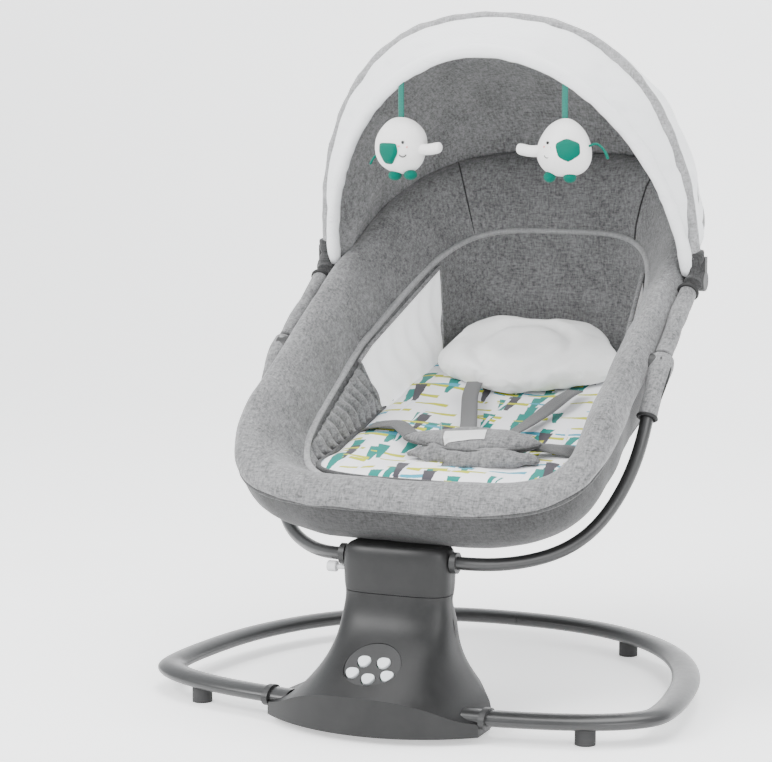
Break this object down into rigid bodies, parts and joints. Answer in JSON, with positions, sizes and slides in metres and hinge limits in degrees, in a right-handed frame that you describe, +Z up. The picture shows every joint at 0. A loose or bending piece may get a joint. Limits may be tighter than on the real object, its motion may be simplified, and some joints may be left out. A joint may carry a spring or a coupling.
{
  "type": "baby swing",
  "caption": "Bassinet-style baby swing on a swivelling motor tower and tube base, with recline hubs, padded tub, folding canopy and hanging toys.",
  "frame": {"origin": "on the floor, at the middle of the footprint of the whole swing", "axes": "+X to the swing's right-hand side seen from the foot end, +Y towards the head of the seat, +Z up"},
  "size_m": [0.6554, 0.7393, 0.8163],
  "materials": {
    "tube_paint": "satin grey paint",
    "housing_plastic": "moulded, fine grain",
    "panel_plastic": "moulded, fine grain",
    "button_rubber": "soft touch",
    "light_plastic": "moulded",
    "foot_rubber": "matte",
    "dark_plastic": "moulded",
    "steel": "plain",
    "circuit_board": "solder mask",
    "grey_melange": "woven melange",
    "mesh_white": "open mesh",
    "pad_print": "printed cotton",
    "pillow_white": "plush",
    "strap_grey": "webbing",
    "board": "stiff board",
    "net_white": "light net",
    "toy_plush": "short plush",
    "toy_teal": "short plush"
  },
  "bodies": {
    "base": {"base_tube_right": "tube_paint", "base_tube_left": "tube_paint", "base_joint_plug": "steel", "rubber_feet": "foot_rubber", "tower_shell_front": "housing_plastic", "tower_shell_rear": "housing_plastic", "tower_base_cover": "housing_plastic", "tube_collars": "dark_plastic", "assembly_screws": "steel", "control_panel": "panel_plastic", "button_board": "circuit_board", "speaker": "dark_plastic", "power_inlet": "dark_plastic", "gearbox_case": "dark_plastic", "drive_motor": "steel", "shaft_bearings": "steel", "bearing_carriers": "dark_plastic"},
    "crank": {"crank_disc": "dark_plastic"},
    "link": {"crank_link": "steel"},
    "swivel": {"pivot_shaft": "steel", "swing_lever": "steel", "head_shell_front": "housing_plastic", "head_shell_rear": "housing_plastic", "arm_bracket": "steel", "arm_collars": "dark_plastic", "arm_tube_right": "tube_paint", "arm_tube_left": "tube_paint", "arm_sleeves": "grey_melange", "recline_discs": "dark_plastic"},
    "lock": {"lock_knob": "light_plastic"},
    "recline_release_right": {"recline_button_right": "housing_plastic"},
    "recline_release_left": {"recline_button_left": "housing_plastic"},
    "seat": {"recline_plates": "dark_plastic", "ring_tube_foot": "steel", "ring_tube_head": "steel", "rim_collar": "grey_melange", "tub": "grey_melange", "mesh_windows": "mesh_white", "seat_board": "board", "seat_pad": "pad_print", "head_pillow": "pillow_white", "harness_straps": "strap_grey", "belt_pad": "strap_grey", "rim_sleeves": "grey_melange", "canopy_hinges": "dark_plastic"},
    "rear_bow": {"canopy_bow_rear": "tube_paint", "canopy_rear_panel": "net_white"},
    "main_bow": {"canopy_bow_main": "tube_paint", "canopy_main_panel": "net_white"},
    "front_bow": {"canopy_bow_front": "tube_paint", "canopy_visor": "net_white"},
    "hanging_toy_right": {"toy_ribbon_right": "toy_teal", "toy_right": "toy_plush"},
    "hanging_toy_left": {"toy_ribbon_left": "toy_teal", "toy_left": "toy_plush"},
    "power_button": {"button_power": "button_rubber"},
    "timer_button": {"button_timer": "button_rubber"},
    "volume_button": {"button_volume": "button_rubber"},
    "music_button": {"button_music": "button_rubber"},
    "swing_button": {"button_swing": "button_rubber"}
  },
  "joints": [
    {"name": "seat_swing", "type": "hinge", "parent": "base", "child": "swivel", "pos_m": [0, -0.23765, 0.1], "axis": [0, 0, 1], "range_deg": [-11, 11]},
    {"name": "seat_recline", "type": "hinge", "parent": "swivel", "child": "seat", "pos_m": [0, -0.02565, 0.4], "axis": [-1, 0, 0], "range_deg": [0, 14]},
    {"name": "rear_bow_fold", "type": "hinge", "parent": "seat", "child": "rear_bow", "pos_m": [0, 0.11935, 0.49], "axis": [-1, 0, 0], "range_deg": [0, 11.1], "deforming": ["canopy_rear_panel"]},
    {"name": "canopy_fold", "type": "hinge", "parent": "rear_bow", "child": "main_bow", "pos_m": [0, 0.11935, 0.49], "axis": [-1, 0, 0], "range_deg": [0, 43], "deforming": ["canopy_main_panel"]},
    {"name": "front_bow_fold", "type": "hinge", "parent": "main_bow", "child": "front_bow", "pos_m": [0, 0.11935, 0.49], "axis": [-1, 0, 0], "range_deg": [0, 4.1], "deforming": ["canopy_visor"]},
    {"name": "toy_swing_right", "type": "hinge", "parent": "front_bow", "child": "hanging_toy_right", "pos_m": [0.108, 0.02611, 0.74071], "axis": [1, 0, 0], "range_deg": [-35, 35]},
    {"name": "toy_swing_left", "type": "hinge", "parent": "front_bow", "child": "hanging_toy_left", "pos_m": [-0.108, 0.02611, 0.74071], "axis": [1, 0, 0], "range_deg": [-35, 35]},
    {"name": "crank_spin", "type": "hinge", "parent": "base", "child": "crank", "pos_m": [-0.05, -0.27965, 0.043], "axis": [0, 0, 1], "continuous": true},
    {"name": "link_pivot", "type": "hinge", "parent": "crank", "child": "link", "pos_m": [-0.05, -0.27165, 0.048], "axis": [0, 0, 1], "continuous": true},
    {"name": "lock_knob_slide", "type": "slide", "parent": "swivel", "child": "lock", "axis": [-1, 0, 0], "range_m": [0, 0.004], "stiffness_N_per_m": 600},
    {"name": "recline_release_right_press", "type": "slide", "parent": "swivel", "child": "recline_release_right", "axis": [-1, 0, 0], "range_m": [0, 0.0012], "stiffness_N_per_m": 800},
    {"name": "recline_release_left_press", "type": "slide", "parent": "swivel", "child": "recline_release_left", "axis": [1, 0, 0], "range_m": [0, 0.0012], "stiffness_N_per_m": 800},
    {"name": "power_button_press", "type": "slide", "parent": "base", "child": "power_button", "axis": [0, 0.6198, -0.7848], "range_m": [0, 0.0012], "stiffness_N_per_m": 700},
    {"name": "timer_button_press", "type": "slide", "parent": "base", "child": "timer_button", "axis": [0, 0.6198, -0.7848], "range_m": [0, 0.0012], "stiffness_N_per_m": 700},
    {"name": "volume_button_press", "type": "slide", "parent": "base", "child": "volume_button", "axis": [0, 0.6198, -0.7848], "range_m": [0, 0.0012], "stiffness_N_per_m": 700},
    {"name": "music_button_press", "type": "slide", "parent": "base", "child": "music_button", "axis": [0, 0.6198, -0.7848], "range_m": [0, 0.0012], "stiffness_N_per_m": 700},
    {"name": "swing_button_press", "type": "slide", "parent": "base", "child": "swing_button", "axis": [0, 0.6198, -0.7848], "range_m": [0, 0.0012], "stiffness_N_per_m": 700}
  ],
  "couplings": [
    {"joint": "rear_bow_fold", "follows": "canopy_fold", "ratio": 0.2558},
    {"joint": "front_bow_fold", "follows": "canopy_fold", "ratio": 0.093},
    {"joint": "link_pivot", "follows": "crank_spin", "ratio": -1}
  ]
}
